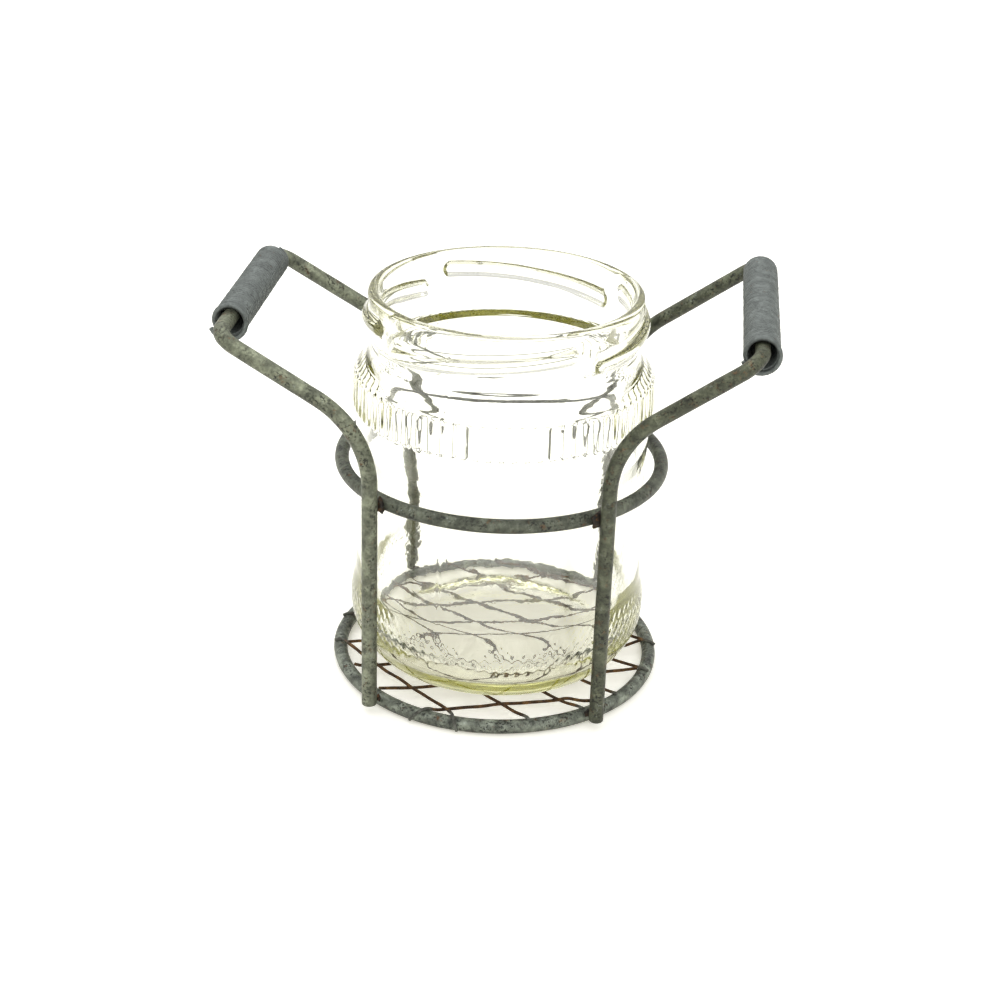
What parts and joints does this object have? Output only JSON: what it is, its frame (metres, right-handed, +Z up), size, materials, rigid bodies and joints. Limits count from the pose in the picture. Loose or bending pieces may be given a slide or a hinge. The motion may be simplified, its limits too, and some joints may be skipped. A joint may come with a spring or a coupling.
{
  "type": "jar lantern in wire carrier",
  "caption": "Open glass food jar standing in a welded galvanised wire carrier with a wire net floor and upswept handles that carry loose coiled grips.",
  "frame": {"origin": "on the floor under the middle of the whole object; the axis of the glass jar and of the carrier's two rings stands 1.5 mm towards the right-hand handle, because the left-hand handle reaches further out", "axes": "+Z up; +X towards the right-hand handle, whose grip is the longer one; +Y towards the back"},
  "size_m": [0.1523, 0.0986, 0.1173],
  "materials": {
    "jar_glass": "clear soda-lime container glass with a faint yellow-green tint",
    "frame_wire": "dull galvanised wire, mottled mid grey with dark specks and pale zinc bloom",
    "grip_wire": "dull galvanised thin wire, close wound",
    "net_wire": "thin wire rusted brown, grey zinc left near the ring",
    "weld_metal": "rough weld nugget, grey with brown rust"
  },
  "bodies": {
    "carrier": {"base_ring": "frame_wire", "upper_ring": "frame_wire", "left_handle": "frame_wire", "right_handle": "frame_wire", "base_weld_front_left": "weld_metal", "upper_weld_front_left": "weld_metal", "base_weld_back_left": "weld_metal", "upper_weld_back_left": "weld_metal", "base_weld_front_right": "weld_metal", "upper_weld_front_right": "weld_metal", "base_weld_back_right": "weld_metal", "upper_weld_back_right": "weld_metal", "lower_net_wire_1": "net_wire", "lower_net_wire_2": "net_wire", "lower_net_wire_3": "net_wire", "lower_net_wire_4": "net_wire", "lower_net_wire_5": "net_wire", "lower_net_wire_6": "net_wire", "upper_net_wire_1": "net_wire", "upper_net_wire_2": "net_wire", "upper_net_wire_3": "net_wire", "upper_net_wire_4": "net_wire", "upper_net_wire_5": "net_wire", "upper_net_wire_6": "net_wire", "upper_net_wire_7": "net_wire"},
    "jar": {"glass_jar": "jar_glass"},
    "left_grip": {"left_grip": "grip_wire"},
    "right_grip": {"right_grip": "grip_wire"}
  },
  "joints": [
    {"name": "jar_lift", "type": "slide", "parent": "carrier", "child": "jar", "axis": [0, 0, 1], "range_m": [0, 0.12]},
    {"name": "left_grip_spin", "type": "hinge", "parent": "carrier", "child": "left_grip", "pos_m": [-0.0711, 0, 0.1074], "axis": [0, 1, 0], "continuous": true},
    {"name": "right_grip_spin", "type": "hinge", "parent": "carrier", "child": "right_grip", "pos_m": [0.0711, 0, 0.11235], "axis": [0, 1, 0], "continuous": true}
  ]
}
